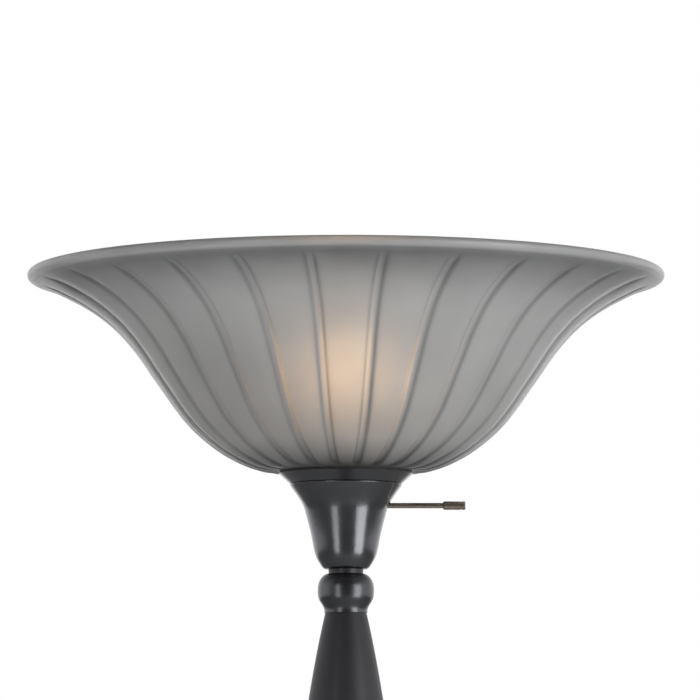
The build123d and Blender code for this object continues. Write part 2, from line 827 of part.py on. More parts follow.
with BuildPart() as terminal_screws:
    for side_sign in (-1, 1):
        with BuildSketch(Plane.XZ.offset(-side_sign * terminal_flat)):
            with Locations((0, z_terminal)):
                Circle(terminal_shank_radius)
        extrude(amount=side_sign * terminal_shank_length)
        with BuildSketch(Plane.XZ.offset(-side_sign * terminal_flat)):
            with Locations((0, z_terminal)):
                Circle(terminal_head_radius)
        extrude(amount=-side_sign * terminal_head_thickness)
        with BuildSketch(Plane.XZ.offset(-side_sign * (terminal_flat + terminal_head_thickness))):
            with Locations((0, z_terminal)):
                Rectangle(2 * terminal_head_radius, screw_slot_width)
        extrude(amount=side_sign * screw_slot_depth, mode=Mode.SUBTRACT)
save(terminal_screws, "terminal_screws")

screw_crest = bulb_thread_radius + bulb_thread_depth + screw_shell_clearance
screw_root = bulb_thread_radius + screw_shell_clearance
z_screw_shell_top = z_shell_top - screw_shell_setback
with BuildPart() as screw_shell:
    floor_top = z_body_top + screw_shell_wall
    floor_hole = bulb_ring_contact_radius + screw_shell_hole_margin
    shell_thread_foot = floor_top + screw_shell_thread_start
    inner_side = thread_points(
        screw_crest, screw_root, bulb_thread_pitch, shell_thread_foot, z_screw_shell_top
    )
    outer_side = [(r + screw_shell_wall, z) for r, z in reversed(inner_side)]
    with BuildSketch(Plane.XZ):
        with BuildLine():
            Polyline(
                *inner_side,
                *outer_side,
                (screw_crest + screw_shell_wall, z_body_top),
                (floor_hole, z_body_top),
                (floor_hole, floor_top),
                (screw_crest, floor_top),
                close=True,
            )
        make_face()
    revolve(axis=Axis.Z)
save(screw_shell, "screw_shell")

with BuildPart() as centre_contact:
    z_tab = z_contact - contact_gap
    tab_radius = bulb_contact_radius - centre_contact_margin
    revolve(ring_profile(0, tab_radius, z_body_top, z_tab), axis=Axis.Z)
    chamfer(centre_contact.edges().sort_by(Axis.Z)[-1], centre_contact_chamfer)
save(centre_contact, "centre_contact")

with BuildPart() as ring_contact:
    with BuildSketch(Plane.XY.offset(z_body_top)):
        with Locations((-(bulb_ring_contact_radius - bulb_ring_contact_width / 2), 0)):
            RectangleRounded(ring_contact_width, ring_contact_length, ring_contact_corner)
    extrude(amount=z_contact + bulb_contact_height - contact_gap - z_body_top)
save(ring_contact, "ring_contact")

# === Switch key: rotor, stem and knob on one axis along +X ============================================
with BuildPart() as switch_rotor:
    with BuildSketch(Plane.YZ.offset(-rotor_length / 2)):
        with Locations((0, z_switch)):
            Circle(rotor_radius)
            with Locations((0, rotor_radius), (0, -rotor_radius)):
                Rectangle(rotor_notch_width, rotor_notch_height, mode=Mode.SUBTRACT)
    extrude(amount=rotor_length)
save(switch_rotor, "switch_rotor")

with BuildPart() as switch_stem:
    with BuildSketch(Plane.YZ.offset(rotor_length / 2)):
        with Locations((0, z_switch)):
            Circle(stem_radius)
    extrude(amount=stem_reach + knob_bore_depth - rotor_length / 2)
save(switch_stem, "switch_stem")

with BuildPart() as switch_knob:
    with BuildSketch(Plane.YZ.offset(stem_reach)):
        with Locations((0, z_switch)):
            Circle(knob_radius)
    extrude(amount=knob_length)
    chamfer(switch_knob.edges().filter_by(GeomType.CIRCLE), knob_chamfer)
    with BuildSketch(Plane.YZ.offset(stem_reach)):
        with Locations((0, z_switch)):
            Circle(stem_radius + knob_fit_clearance)
    extrude(amount=knob_bore_depth, mode=Mode.SUBTRACT)
    with BuildSketch(Plane.YZ.offset(stem_reach + knob_length - knob_groove_setback)):
        with Locations((0, z_switch)):
            Circle(knob_radius + over_cut)
            Circle(knob_radius - knob_groove_depth, mode=Mode.SUBTRACT)
    extrude(amount=knob_groove_width, mode=Mode.SUBTRACT)
save(switch_knob, "switch_knob")

# === Bulb =============================================================================================
z_globe = z_contact + bulb_length - bulb_radius
z_bulb_cap = z_contact + bulb_cap_length
z_insulator = z_contact + bulb_insulator_height
bulb_neck_radius = bulb_thread_radius - bulb_thread_depth - bulb_cap_wall - bulb_neck_gap


def globe_profile(inset):
    """The solid half section of the bulb's glass, set in from its outer face by an inset."""
    radius = bulb_radius - inset
    neck_radius = bulb_neck_radius - inset
    z_neck = z_bulb_cap - bulb_neck_tuck
    lean = radians(globe_join)
    with BuildSketch(Plane.XZ) as profile:
        with BuildLine():
            foot = Line((0, z_neck), (neck_radius, z_neck))
            neck = Line(foot @ 1, (neck_radius, z_bulb_cap))
            Spline(
                neck @ 1,
                (neck_radius + bulb_neck_swell, z_bulb_cap + bulb_neck_rise),
                (radius * cos(lean), z_globe + radius * sin(lean)),
                tangents=((0, 1), (-sin(lean), cos(lean))),
            )
            dome = CenterArc((0, z_globe), radius, globe_join, 90 - globe_join)
            Line(dome @ 1, foot @ 0)
        make_face()
    return profile.sketch


with BuildPart() as bulb_globe:
    revolve(globe_profile(0), axis=Axis.Z)
    revolve(globe_profile(bulb_wall), axis=Axis.Z, mode=Mode.SUBTRACT)
save(bulb_globe, "bulb_globe")

with BuildPart() as bulb_screw_cap:
    z_cap_flange = z_contact + bulb_cap_foot
    thread_root = bulb_thread_radius - bulb_thread_depth
    cap_hole = bulb_insulator_radius + bulb_cap_seam
    cap_thread_foot = z_cap_flange + bulb_cap_thread_start
    outer_side = thread_points(
        bulb_thread_radius, thread_root, bulb_thread_pitch, cap_thread_foot, z_bulb_cap
    )
    inner_side = [(r - bulb_cap_wall, z) for r, z in reversed(outer_side)]
    with BuildSketch(Plane.XZ):
        with BuildLine():
            Polyline(
                *outer_side,
                *inner_side,
                (cap_hole + bulb_cap_lip, z_cap_flange + bulb_cap_wall),
                (cap_hole, z_cap_flange + bulb_cap_wall),
                (cap_hole, z_cap_flange),
                (cap_hole + bulb_cap_shoulder, z_cap_flange),
                close=True,
            )
        make_face()
    revolve(axis=Axis.Z)
save(bulb_screw_cap, "bulb_screw_cap")

z_ring_top = z_contact + bulb_contact_height + bulb_ring_contact_thickness
ring_inner = bulb_ring_contact_radius - bulb_ring_contact_width
with BuildPart() as bulb_insulator:
    with BuildSketch(Plane.XZ):
        with BuildLine():
            Polyline(
                (0, z_contact + bulb_contact_height),
                (ring_inner, z_contact + bulb_contact_height),
                (ring_inner, z_ring_top),
                (bulb_ring_contact_radius, z_ring_top),
                (bulb_insulator_radius, z_ring_top + bulb_insulator_edge),
                (bulb_insulator_radius, z_insulator),
                (0, z_insulator),
                close=True,
            )
        make_face()
    revolve(axis=Axis.Z)
save(bulb_insulator, "bulb_insulator")

with BuildPart() as bulb_contacts:
    revolve(
        ring_profile(0, bulb_contact_radius, z_contact, z_contact + bulb_contact_height),
        axis=Axis.Z,
    )
    fillet(bulb_contacts.edges().sort_by(Axis.Z)[0], bulb_contact_height / 2)
    revolve(
        ring_profile(
            ring_inner, bulb_ring_contact_radius, z_contact + bulb_contact_height, z_ring_top
        ),
        axis=Axis.Z,
    )
save(bulb_contacts, "bulb_contacts")

z_stem_foot = z_bulb_cap - bulb_stem_tuck
z_stem_top = z_stem_foot + bulb_stem_height
with BuildPart() as bulb_stem:
    side = [
        (bulb_stem_radius, z_stem_foot),
        *side_points(BULB_STEM_SIDE, bulb_stem_radius, z_stem_foot, bulb_stem_height),
    ]
    revolve(turned_profile(side, z_stem_foot, z_stem_top, 0), axis=Axis.Z)
save(bulb_stem, "bulb_stem")

z_filament = z_contact + filament_height
with BuildPart() as bulb_filament:
    with BuildLine(Plane.XZ) as filament_path:
        FilletPolyline(
            (-filament_foot, z_stem_top),
            (-filament_span, z_filament),
            (filament_span, z_filament),
            (filament_foot, z_stem_top),
            radius=filament_bend_radius,
        )
    with BuildSketch(Plane(origin=filament_path.line @ 0, z_dir=filament_path.line % 0)):
        Circle(filament_wire_radius)
    sweep()
    split(bisect_by=Plane.XY.offset(z_stem_top), keep=Keep.TOP)
save(bulb_filament, "bulb_filament")


# === Inner leads: from the cord inlet, through the base and the tie rod, to the terminals =============
def lead(name, side):
    """One insulated lead on the +Y (1) or -Y (-1) side of the tie rod's bore."""
    y_rod = side * (lead_radius + lead_gap / 2)
    y_terminal = side * (terminal_flat + terminal_head_thickness / 2 + lead_radius / 2)
    z_channel = inlet_height + y_rod
    z_bend = z_rod_top + lead_above_rod
    with BuildPart() as insulated:
        with BuildLine(Plane.YZ) as route:
            FilletPolyline(
                (base_radius - inlet_body_length - lead_end_gap, z_channel),
                (y_rod, z_channel),
                (y_rod, z_bend),
                (y_terminal, z_bend + lead_bend_rise),
                (y_terminal, z_terminal - terminal_head_radius),
                radius=[lead_foot_bend_radius - y_rod, lead_bend_radius, lead_bend_radius],
            )
        with BuildSketch(Plane(origin=route.line @ 0, z_dir=route.line % 0)):
            Circle(lead_radius)
        sweep()
    save(insulated, name)


lead("lead_live", 1)
lead("lead_neutral", -1)
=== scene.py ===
"""Looks of a torchiere floor lamp: a fluted smoked-glass bowl, lacquered column and turn switch.

Everything is in metres, +Z up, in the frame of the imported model. The knob points along +X and the
cord inlet along +Y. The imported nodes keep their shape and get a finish. Only the fluted bowl is
computed here, and it stands for its plain node.
"""

from __future__ import annotations

import json
import logging
from dataclasses import dataclass
from enum import Enum

import bpy
import numpy as np
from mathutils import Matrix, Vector


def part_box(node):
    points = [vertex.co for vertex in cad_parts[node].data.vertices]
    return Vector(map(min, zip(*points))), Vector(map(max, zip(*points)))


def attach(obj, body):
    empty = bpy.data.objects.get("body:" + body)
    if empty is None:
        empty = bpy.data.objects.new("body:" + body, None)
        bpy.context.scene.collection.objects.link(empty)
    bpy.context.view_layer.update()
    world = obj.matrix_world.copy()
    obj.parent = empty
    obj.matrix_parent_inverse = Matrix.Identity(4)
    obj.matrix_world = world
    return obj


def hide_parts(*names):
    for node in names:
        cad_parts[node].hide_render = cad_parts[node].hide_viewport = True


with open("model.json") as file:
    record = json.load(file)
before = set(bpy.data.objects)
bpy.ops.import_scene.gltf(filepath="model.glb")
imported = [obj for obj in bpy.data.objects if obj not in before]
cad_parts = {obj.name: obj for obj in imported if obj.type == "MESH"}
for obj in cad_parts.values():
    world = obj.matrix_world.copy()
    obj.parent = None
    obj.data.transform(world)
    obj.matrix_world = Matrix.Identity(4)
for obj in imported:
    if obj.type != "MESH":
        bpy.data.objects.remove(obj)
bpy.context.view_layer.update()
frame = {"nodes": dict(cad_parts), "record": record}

log = logging.getLogger("torchiere")
MM = 0.001
NOISE_ROUGHNESS = 0.55
Colour = tuple[float, float, float]
Point = tuple[float, float, float]


# === Shader arithmetic ================================================================================
class Signal:
    """A shader socket that can be used in Python arithmetic."""

    def __init__(self, graph: Graph, socket: bpy.types.NodeSocket) -> None:
        """Wraps an output socket of a graph."""
        self.graph = graph
        self.socket = socket

    def maths(self, operation: str, *values: Signal | float) -> Signal:
        """Adds one Math node.

        Args:
            operation: Blender's name for the operation, such as MULTIPLY.
            values: the node's inputs in order.

        Returns:
            The node's result.
        """
        inputs = {str(index): value for index, value in enumerate(values)}
        return self.graph.node("ShaderNodeMath", inputs, operation=operation)

    def __add__(self, other: Signal | float) -> Signal:
        """Sum."""
        return self.maths("ADD", self, other)

    def __sub__(self, other: Signal | float) -> Signal:
        """Difference."""
        return self.maths("SUBTRACT", self, other)

    def __rsub__(self, other: Signal | float) -> Signal:
        """Difference with the number first."""
        return self.maths("SUBTRACT", other, self)

    def __mul__(self, other: Signal | float) -> Signal:
        """Product."""
        return self.maths("MULTIPLY", self, other)

    def __truediv__(self, other: Signal | float) -> Signal:
        """Quotient."""
        return self.maths("DIVIDE", self, other)

    __radd__ = __add__
    __rmul__ = __mul__

    def clamp(self, low: float = 0.0, high: float = 1.0) -> Signal:
        """The value held between two limits."""
        return self.maths("MAXIMUM", self.maths("MINIMUM", self, high), low)

    def ease(self, start: float, end: float) -> Signal:
        """Zero below start, one above end and a straight ramp between them."""
        return ((self - start) / (end - start)).clamp()


class Graph:
    """One material's node tree, with one way to add any node."""

    def __init__(self, name: str) -> None:
        """Starts an empty material."""
        self.material = bpy.data.materials.new(name)
        self.material.use_nodes = True
        self.tree = self.material.node_tree
        self.tree.nodes.clear()

    def node(
        self,
        kind: str,
        inputs: dict[str, object] | None = None,
        output: int = 0,
        stops: tuple[tuple[float, Colour], ...] = (),
        **settings: object,
    ) -> Signal:
        """Adds a node, sets it up and feeds its sockets.

        Args:
            kind: the node's type.
            inputs: values or signals by socket name, or by position written as a number.
            output: the position of the output that is wanted.
            stops: a ramp's positions and colours.
            settings: the node's own properties, set before its sockets.

        Returns:
            The wanted output.
        """
        made = self.tree.nodes.new(kind)
        for name, value in settings.items():
            setattr(made, name, value)
        if stops:
            ramp = made.color_ramp
            for index, (position, colour) in enumerate(stops):
                stop = ramp.elements[index] if index < 2 else ramp.elements.new(position)
                stop.position = position
                stop.color = (*colour, 1.0)
        for name, value in (inputs or {}).items():
            socket = made.inputs[int(name)] if name.isdigit() else made.inputs[name]
            if isinstance(value, Signal):
                self.tree.links.new(value.socket, socket)
            else:
                socket.default_value = value
        return Signal(self, made.outputs[output])

    def place(self, stretch: Point = (1.0, 1.0, 1.0), centre: Point = (0.0, 0.0, 0.0)) -> Signal:
        """Object coordinates in metres, moved to a centre and stretched.

        Args:
            stretch: how far a pattern is squeezed along each axis.
            centre: the point that becomes the pattern's origin.

        Returns:
            The coordinates.
        """
        raw = self.node("ShaderNodeTexCoord", output=3)
        shift = tuple(-c * s for c, s in zip(centre, stretch))
        return self.node("ShaderNodeMapping", {"Vector": raw, "Location": shift, "Scale": stretch})

    def mark(self, name: str) -> Signal:
        """A number that the mesh carries at each vertex."""
        return self.node("ShaderNodeAttribute", output=2, attribute_name=name)

    def noise(self, scale: float, detail: float = 3.0, stretch: Point = (1, 1, 1)) -> Signal:
        """A cloudy pattern about one half, with that many cells to the metre."""
        place = self.place(stretch)
        sockets = {"Vector": place, "Scale": scale, "Detail": detail, "Roughness": NOISE_ROUGHNESS}
        return self.node("ShaderNodeTexNoise", sockets)

    def tint(self, amount: Signal, dark: Colour, light: Colour) -> Signal:
        """A colour between two, by an amount from 0 to 1."""
        stops = ((0.0, dark), (1.0, light))
        return self.node("ShaderNodeValToRGB", {"Fac": amount}, stops=stops)

    def bump(self, height: Signal, strength: float, depth: float) -> Signal:
        """A normal from a height pattern.

        Args:
            height: the pattern, from 0 to 1.
            strength: how much of it shows.
            depth: the real height of 1, in metres.

        Returns:
            The normal.
        """
        sockets = {"Height": height, "Strength": strength, "Distance": depth}
        return self.node("ShaderNodeBump", sockets)

    def surface(self, **sockets: object) -> bpy.types.Material:
        """Closes the material with a principled shader.

        Args:
            sockets: values or signals by socket name, with underscores for spaces.

        Returns:
            The material.
        """
        named = {name.replace("_", " "): value for name, value in sockets.items()}
        shader = self.node("ShaderNodeBsdfPrincipled", named)
        end = self.tree.nodes.new("ShaderNodeOutputMaterial")
        self.tree.links.new(shader.socket, end.inputs["Surface"])
        return self.material


def darker(colour: Colour, share: float) -> Colour:
    """A colour times a share."""
    return tuple(channel * share for channel in colour)


# === Finishes =========================================================================================
@dataclass(frozen=True)
class SmokedGlass:
    """Acid-etched grey smoked glass: cloudy tint, satin grain, and painted shade that darkens the channel
    sides, the underside of the lip and the seat.
    """

    name: str = "smoked_glass"
    light: Colour = (0.70, 0.705, 0.70)
    dark: Colour = (0.18, 0.183, 0.188)
    transmission: float = 0.56
    clear_level: float = 0.50
    cloud_share: float = 0.34
    wave_share: float = 0.20
    # painted shade strengths: darkening of the channel sides, then under the lip and by the seat
    edge_smoke: float = 0.42
    thick_smoke: float = 0.78
    roughness: float = 0.40
    etching: float = 0.10

    def build(self) -> bpy.types.Material:
        """Makes the material: painted shade on the channel sides, under the lip and by the seat lowers a
        share of 1 that picks the tint between dark and light.
        """
        graph = Graph(self.name)
        clouds = graph.noise(9.0, 4.0)
        grain = graph.noise(1400.0, 2.0)
        waves = graph.noise(38.0, 1.0, (1.0, 1.0, 0.4))
        # painted shade: the channel sides, and the underside of the lip and the seat, lower the tint share
        edge = graph.mark("pressed_edge")
        rim_seat_shade = graph.mark("thick_smoke")
        clear = self.clear_level + self.cloud_share * clouds + self.wave_share * waves
        clear = (clear - self.edge_smoke * edge - self.thick_smoke * rim_seat_shade).clamp()
        height = waves * 0.8 + grain * 0.2
        return graph.surface(
            Base_Color=graph.tint(clear, self.dark, self.light),
            Roughness=self.roughness + self.etching * grain,
            IOR=1.46,
            Transmission_Weight=self.transmission,
            Specular_IOR_Level=0.5,
            Coat_Weight=0.25,
            Coat_Roughness=0.16,
            Normal=graph.bump(height, 0.25, 0.0006),
        )


@dataclass(frozen=True)
class Lacquer:
    """Sprayed metallic lacquer on a turned piece: flake, orange peel, lathe rings and soft rub marks."""

    name: str
    colour: Colour
    metallic: float
    roughness: float
    coat: float
    rings: float = 0.15
    dark_share: float = 0.80
    light_share: float = 1.18
    mottle_share: float = 0.6
    mottle_roughness: float = 0.10
    rub_polish: float = 0.07
    flake_roughness: float = 0.06

    def build(self) -> bpy.types.Material:
        """Makes the material."""
        graph = Graph(self.name)
        mottle = graph.noise(26.0, 5.0)
        flake = graph.noise(2600.0, 1.0)
        peel = graph.noise(420.0, 2.0)
        rings = graph.noise(900.0, 2.0, (0.02, 0.02, 1.0))
        rubbed = graph.noise(7.0, 6.0).ease(0.56, 0.72)
        amount = (mottle * self.mottle_share + flake * (1 - self.mottle_share)).ease(0.3, 0.7)
        dark, light = darker(self.colour, self.dark_share), darker(self.colour, self.light_share)
        level = self.roughness + self.mottle_roughness * mottle - self.mottle_roughness / 2
        height = peel * (1.0 - self.rings) + rings * self.rings
        return graph.surface(
            Base_Color=graph.tint(amount, dark, light),
            Metallic=self.metallic,
            Roughness=level - self.rub_polish * rubbed + self.flake_roughness * flake,
            Coat_Weight=self.coat,
            Coat_Roughness=0.18,
            Normal=graph.bump(height, 0.22, 0.00025),
        )


@dataclass(frozen=True)
class BareMetal:
    """Turned or drawn metal: fine rings across an axis, tarnish in patches and hairline scratches."""

    name: str
    colour: Colour
    tarnish: Colour
    roughness: float
    along: Point = (0.03, 0.03, 1.0)
    patches: float = 0.5
    ring_low: float = 0.85
    ring_share: float = 0.30
    ring_roughness: float = 0.12
    patch_roughness: float = 0.12
    scratch_polish: float = 0.05
    least_roughness: float = 0.05

    def build(self) -> bpy.types.Material:
        """Makes the material."""
        graph = Graph(self.name)
        rings = graph.noise(3200.0, 2.0, self.along)
        patch = graph.noise(140.0, 5.0).ease(0.42, 0.70)
        scratch = graph.noise(700.0, 4.0, tuple(1.03 - a for a in self.along)).ease(0.60, 0.66)
        amount = (1.0 - self.patches * patch) * (self.ring_low + self.ring_share * rings)
        dull = self.roughness + self.patch_roughness * patch + self.ring_roughness * rings
        return graph.surface(
            Base_Color=graph.tint(amount.clamp(), self.tarnish, self.colour),
            Metallic=1.0,
            Roughness=(dull - self.scratch_polish * scratch).clamp(self.least_roughness),
            Normal=graph.bump(rings * 0.8 + scratch * 0.2, 0.3, 0.0001),
        )


@dataclass(frozen=True)
class Moulded:
    """Moulded plastic, rubber or black glass: fine speckle, mould grain and handling shine."""

    name: str
    colour: Colour
    roughness: float
    grain: float = 900.0
    depth: float = 0.0001
    coat: float = 0.0
    dark_share: float = 0.75
    light_share: float = 1.3
    shine_spread: float = 0.2
    least_roughness: float = 0.05

    def build(self) -> bpy.types.Material:
        """Makes the material."""
        graph = Graph(self.name)
        speckle = graph.noise(self.grain, 3.0)
        shine = graph.noise(60.0, 3.0)
        dark, light = darker(self.colour, self.dark_share), darker(self.colour, self.light_share)
        dull = self.roughness + self.shine_spread * shine - self.shine_spread / 2
        return graph.surface(
            Base_Color=graph.tint(speckle, dark, light),
            Roughness=dull.clamp(self.least_roughness),
            Coat_Weight=self.coat,
            Normal=graph.bump(speckle, 0.3, self.depth),
        )


@dataclass(frozen=True)
class Fibrous:
    """Pressed fibre, such as felt or insulating board: tangled threads at two scales and a soft nap."""

    name: str
    colour: Colour
    stretch: Point
    depth: float
    sheen: float
    dark_share: float = 0.6
    light_share: float = 1.5
    thread_share: float = 0.7
    roughness: float = 0.88

    def build(self) -> bpy.types.Material:
        """Makes the material."""
        graph = Graph(self.name)
        threads = graph.noise(900.0, 6.0, self.stretch)
        matting = graph.noise(120.0, 5.0)
        amount = (threads * self.thread_share + matting * (1 - self.thread_share)).ease(0.3, 0.7)
        dark, light = darker(self.colour, self.dark_share), darker(self.colour, self.light_share)
        return graph.surface(
            Base_Color=graph.tint(amount, dark, light),
            Roughness=self.roughness + 0.1 * threads,
            Sheen_Weight=self.sheen,
            Sheen_Roughness=0.4,
            Normal=graph.bump(amount, 0.6, self.depth),
        )


@dataclass(frozen=True)
class CastIron:
    """Sand-cast iron: coarse skin with pits and patches of rust bloom."""

    name: str = "cast_iron"
    colour: Colour = (0.055, 0.055, 0.058)
    rust: Colour = (0.12, 0.055, 0.03)
    bloom_share: float = 0.8
    bare_metallic: float = 0.7
    rust_cover: float = 0.6
    roughness: float = 0.55
    sand_roughness: float = 0.3

    def build(self) -> bpy.types.Material:
        """Makes the material."""
        graph = Graph(self.name)
        sand = graph.noise(520.0, 6.0)
        bloom = graph.noise(18.0, 6.0).ease(0.54, 0.70)
        amount = bloom * self.bloom_share + sand * (1 - self.bloom_share)
        return graph.surface(
            Base_Color=graph.tint(amount, self.colour, self.rust),
            Metallic=self.bare_metallic - self.rust_cover * bloom,
            Roughness=self.roughness + self.sand_roughness * sand,
            Normal=graph.bump(sand, 0.8, 0.0006),
        )


@dataclass(frozen=True)
class LitGlass:
    """A bulb's glass, frosted inside and lit: hottest round the filament and cooler at the neck."""

    name: str
    warm: Colour
    white: Colour
    strength: float
    hot_height: float
    reach: float

    def build(self) -> bpy.types.Material:
        """Makes the material."""
        graph = Graph(self.name)
        centred = graph.place((1.0, 1.0, 1.0), (0.0, 0.0, self.hot_height))
        away = graph.node("ShaderNodeVectorMath", {"0": centred}, output=1, operation="LENGTH")
        heat = (1.0 - away / self.reach).clamp()
        frost = graph.noise(700.0, 3.0)
        stops = ((0.0, darker(self.warm, 0.04)), (1.0, self.white), (0.45, self.warm))
        glow = graph.node("ShaderNodeValToRGB", {"Fac": heat}, stops=stops)
        return graph.surface(
            Base_Color=graph.tint(frost, darker(self.white, 0.9), self.white),
            Roughness=0.45 + 0.2 * frost,
            Emission_Color=glow,
            Emission_Strength=self.strength,
            Normal=graph.bump(frost, 0.2, 0.0001),
        )


@dataclass(frozen=True)
class ClearGlass:
    """Clear tube glass with faint drawing lines."""

    name: str = "clear_glass"

    def build(self) -> bpy.types.Material:
        """Makes the material."""
        graph = Graph(self.name)
        lines = graph.noise(500.0, 2.0, (1.0, 1.0, 0.05))
        return graph.surface(
            Base_Color=graph.tint(lines, (0.90, 0.93, 0.92), (0.98, 0.99, 0.99)),
            Roughness=0.03 + 0.05 * lines,
            IOR=1.5,
            Transmission_Weight=1.0,
            Normal=graph.bump(lines, 0.2, 0.0001),
        )


class Slot(Enum):
    """The record's material slots, each with the finish that dresses it."""

    SMOKE_GLASS = SmokedGlass()
    GUNMETAL_PAINT = Lacquer("gunmetal_paint", (0.100, 0.102, 0.110), 0.92, 0.21, 0.30)
    GUNMETAL_RESIN = Lacquer("gunmetal_resin", (0.080, 0.082, 0.089), 0.90, 0.30, 0.20)
    CHARCOAL_FINISH = Lacquer("charcoal_finish", (0.036, 0.036, 0.041), 0.55, 0.46, 0.10)
    CHARCOAL_RESIN = Lacquer("charcoal_resin", (0.034, 0.034, 0.039), 0.50, 0.50, 0.08)
    ANTIQUE_NICKEL = BareMetal(
        "antique_nickel", (0.44, 0.38, 0.32), (0.10, 0.075, 0.055), 0.20, (1.0, 0.03, 0.03)
    )
    ZINC_STEEL = BareMetal("zinc_steel", (0.62, 0.63, 0.66), (0.36, 0.37, 0.40), 0.30)
    BRASS = BareMetal("brass", (0.78, 0.58, 0.28), (0.34, 0.22, 0.09), 0.24)
    BULB_CAP_METAL = BareMetal("bulb_cap_metal", (0.80, 0.80, 0.81), (0.5, 0.5, 0.5), 0.22)
    FILAMENT_WIRE = BareMetal("filament_wire", (0.5, 0.48, 0.45), (0.2, 0.19, 0.18), 0.35)
    VITRITE = Moulded("vitrite", (0.014, 0.012, 0.02), 0.12, coat=0.5)
    PHENOLIC = Moulded("phenolic", (0.045, 0.03, 0.025), 0.3, 300.0, 0.0001, 0.3)
    BLACK_RUBBER = Moulded("black_rubber", (0.014, 0.014, 0.015), 0.7, 1500.0, 0.0002)
    LEAD_INSULATION = Moulded("lead_insulation", (0.03, 0.03, 0.03), 0.45)
    INLET_NYLON = Moulded("inlet_nylon", (0.02, 0.02, 0.021), 0.4, 1200.0, 0.0002)
    FIBRE = Fibrous("fibre", (0.30, 0.21, 0.13), (1.0, 1.0, 0.2), 0.0002, 0.0)
    FELT = Fibrous("felt", (0.03, 0.03, 0.034), (1.0, 0.3, 1.0), 0.0008, 0.4)
    CAST_IRON = CastIron()
    CLEAR_GLASS = ClearGlass()
    BULB_GLASS = LitGlass("bulb_glass", (1.0, 0.62, 0.33), (1.0, 0.80, 0.58), 4.0, 1.7430, 0.053)

    @property
    def slot_name(self) -> str:
        """The name that the record uses."""
        return self.name.lower()


class Wardrobe:
    """Builds each finish once and hands it out."""

    def __init__(self) -> None:
        """Starts with nothing built."""
        self.made: dict[Slot, bpy.types.Material] = {}

    def get(self, slot: Slot) -> bpy.types.Material:
        """The material of a slot."""
        if slot not in self.made:
            self.made[slot] = slot.value.build()
        return self.made[slot]

    def dress(self, piece: bpy.types.Object, slot: Slot) -> None:
        """Puts a slot's finish on a piece in place of whatever it has."""
        piece.data.materials.clear()
        piece.data.materials.append(self.get(slot))


# === Surfaces from numpy ==============================================================================
def smooth_line(corners: np.ndarray, count: int) -> np.ndarray:
    """A smooth line through points: each stretch is a cubic whose end slopes are the centred differences.

    Args:
        corners: the points, one row each.
        count: how many evenly spread points come back.

    Returns:
        The line's points, evenly spaced along it.
    """
    gaps = np.linalg.norm(np.diff(corners, axis=0), axis=1)
    knots = np.concatenate(([0.0], np.cumsum(gaps)))
    slopes = np.gradient(corners, knots, axis=0)
    fine = np.linspace(0.0, knots[-1], count * 8)
    index = np.clip(np.searchsorted(knots, fine, side="right") - 1, 0, len(gaps) - 1)
    span = gaps[index][:, None]
    t = ((fine - knots[index]) / gaps[index])[:, None]
    start, end = corners[index], corners[index + 1]
    cubic = (
        (2 * t**3 - 3 * t**2 + 1) * start
        + (t**3 - 2 * t**2 + t) * span * slopes[index]
        + (3 * t**2 - 2 * t**3) * end
        + (t**3 - t**2) * span * slopes[index + 1]
    )
    return even_line(cubic, count)


def even_line(points: np.ndarray, count: int) -> np.ndarray:
    """The same line with its points spread evenly along its length."""
    steps = np.linalg.norm(np.diff(points, axis=0), axis=1)
    along = np.concatenate(([0.0], np.cumsum(steps)))
    wanted = np.linspace(0.0, along[-1], count)
    columns = [np.interp(wanted, along, points[:, axis]) for axis in range(points.shape[1])]
    return np.stack(columns, axis=1)


def arc_line(centre: tuple[float, float], radius: float, start: float, end: float, count: int) -> np.ndarray:
    """Points of an arc in (radius, height), from one angle to another in degrees, ends included."""
    angles = np.radians(np.linspace(start, end, count))
    return np.stack([centre[0] + radius * np.cos(angles), centre[1] + radius * np.sin(angles)], axis=1)


def line_normals(line: np.ndarray) -> np.ndarray:
    """Unit normals to the right of a line in (radius, height)."""
    tangent = np.gradient(line, axis=0)
    tangent /= np.linalg.norm(tangent, axis=1, keepdims=True)
    return np.stack([tangent[:, 1], -tangent[:, 0]], axis=1)


def grid_mesh(name: str, points: np.ndarray) -> bpy.types.Object:
    """A mesh over a grid whose rows and columns close on themselves, each cell a quad facing out.

    Args:
        name: the piece's name.
        points: an array of rows by columns by 3; columns go round +Z, rows go along the section.

    Returns:
        The object, shaded smooth.
    """
    rows, columns, _ = points.shape
    row = np.arange(rows)[:, None]
    column = np.arange(columns)[None, :]
    here, above = row * columns, ((row + 1) % rows) * columns
    after = (column + 1) % columns
    faces = np.stack([here + column, here + after, above + after, above + column], axis=-1)
    mesh = bpy.data.meshes.new(name)
    mesh.from_pydata(points.reshape(-1, 3), [], faces.reshape(-1, 4))
    mesh.shade_smooth()
    piece = bpy.data.objects.new(name, mesh)
    bpy.context.scene.collection.objects.link(piece)
    return piece


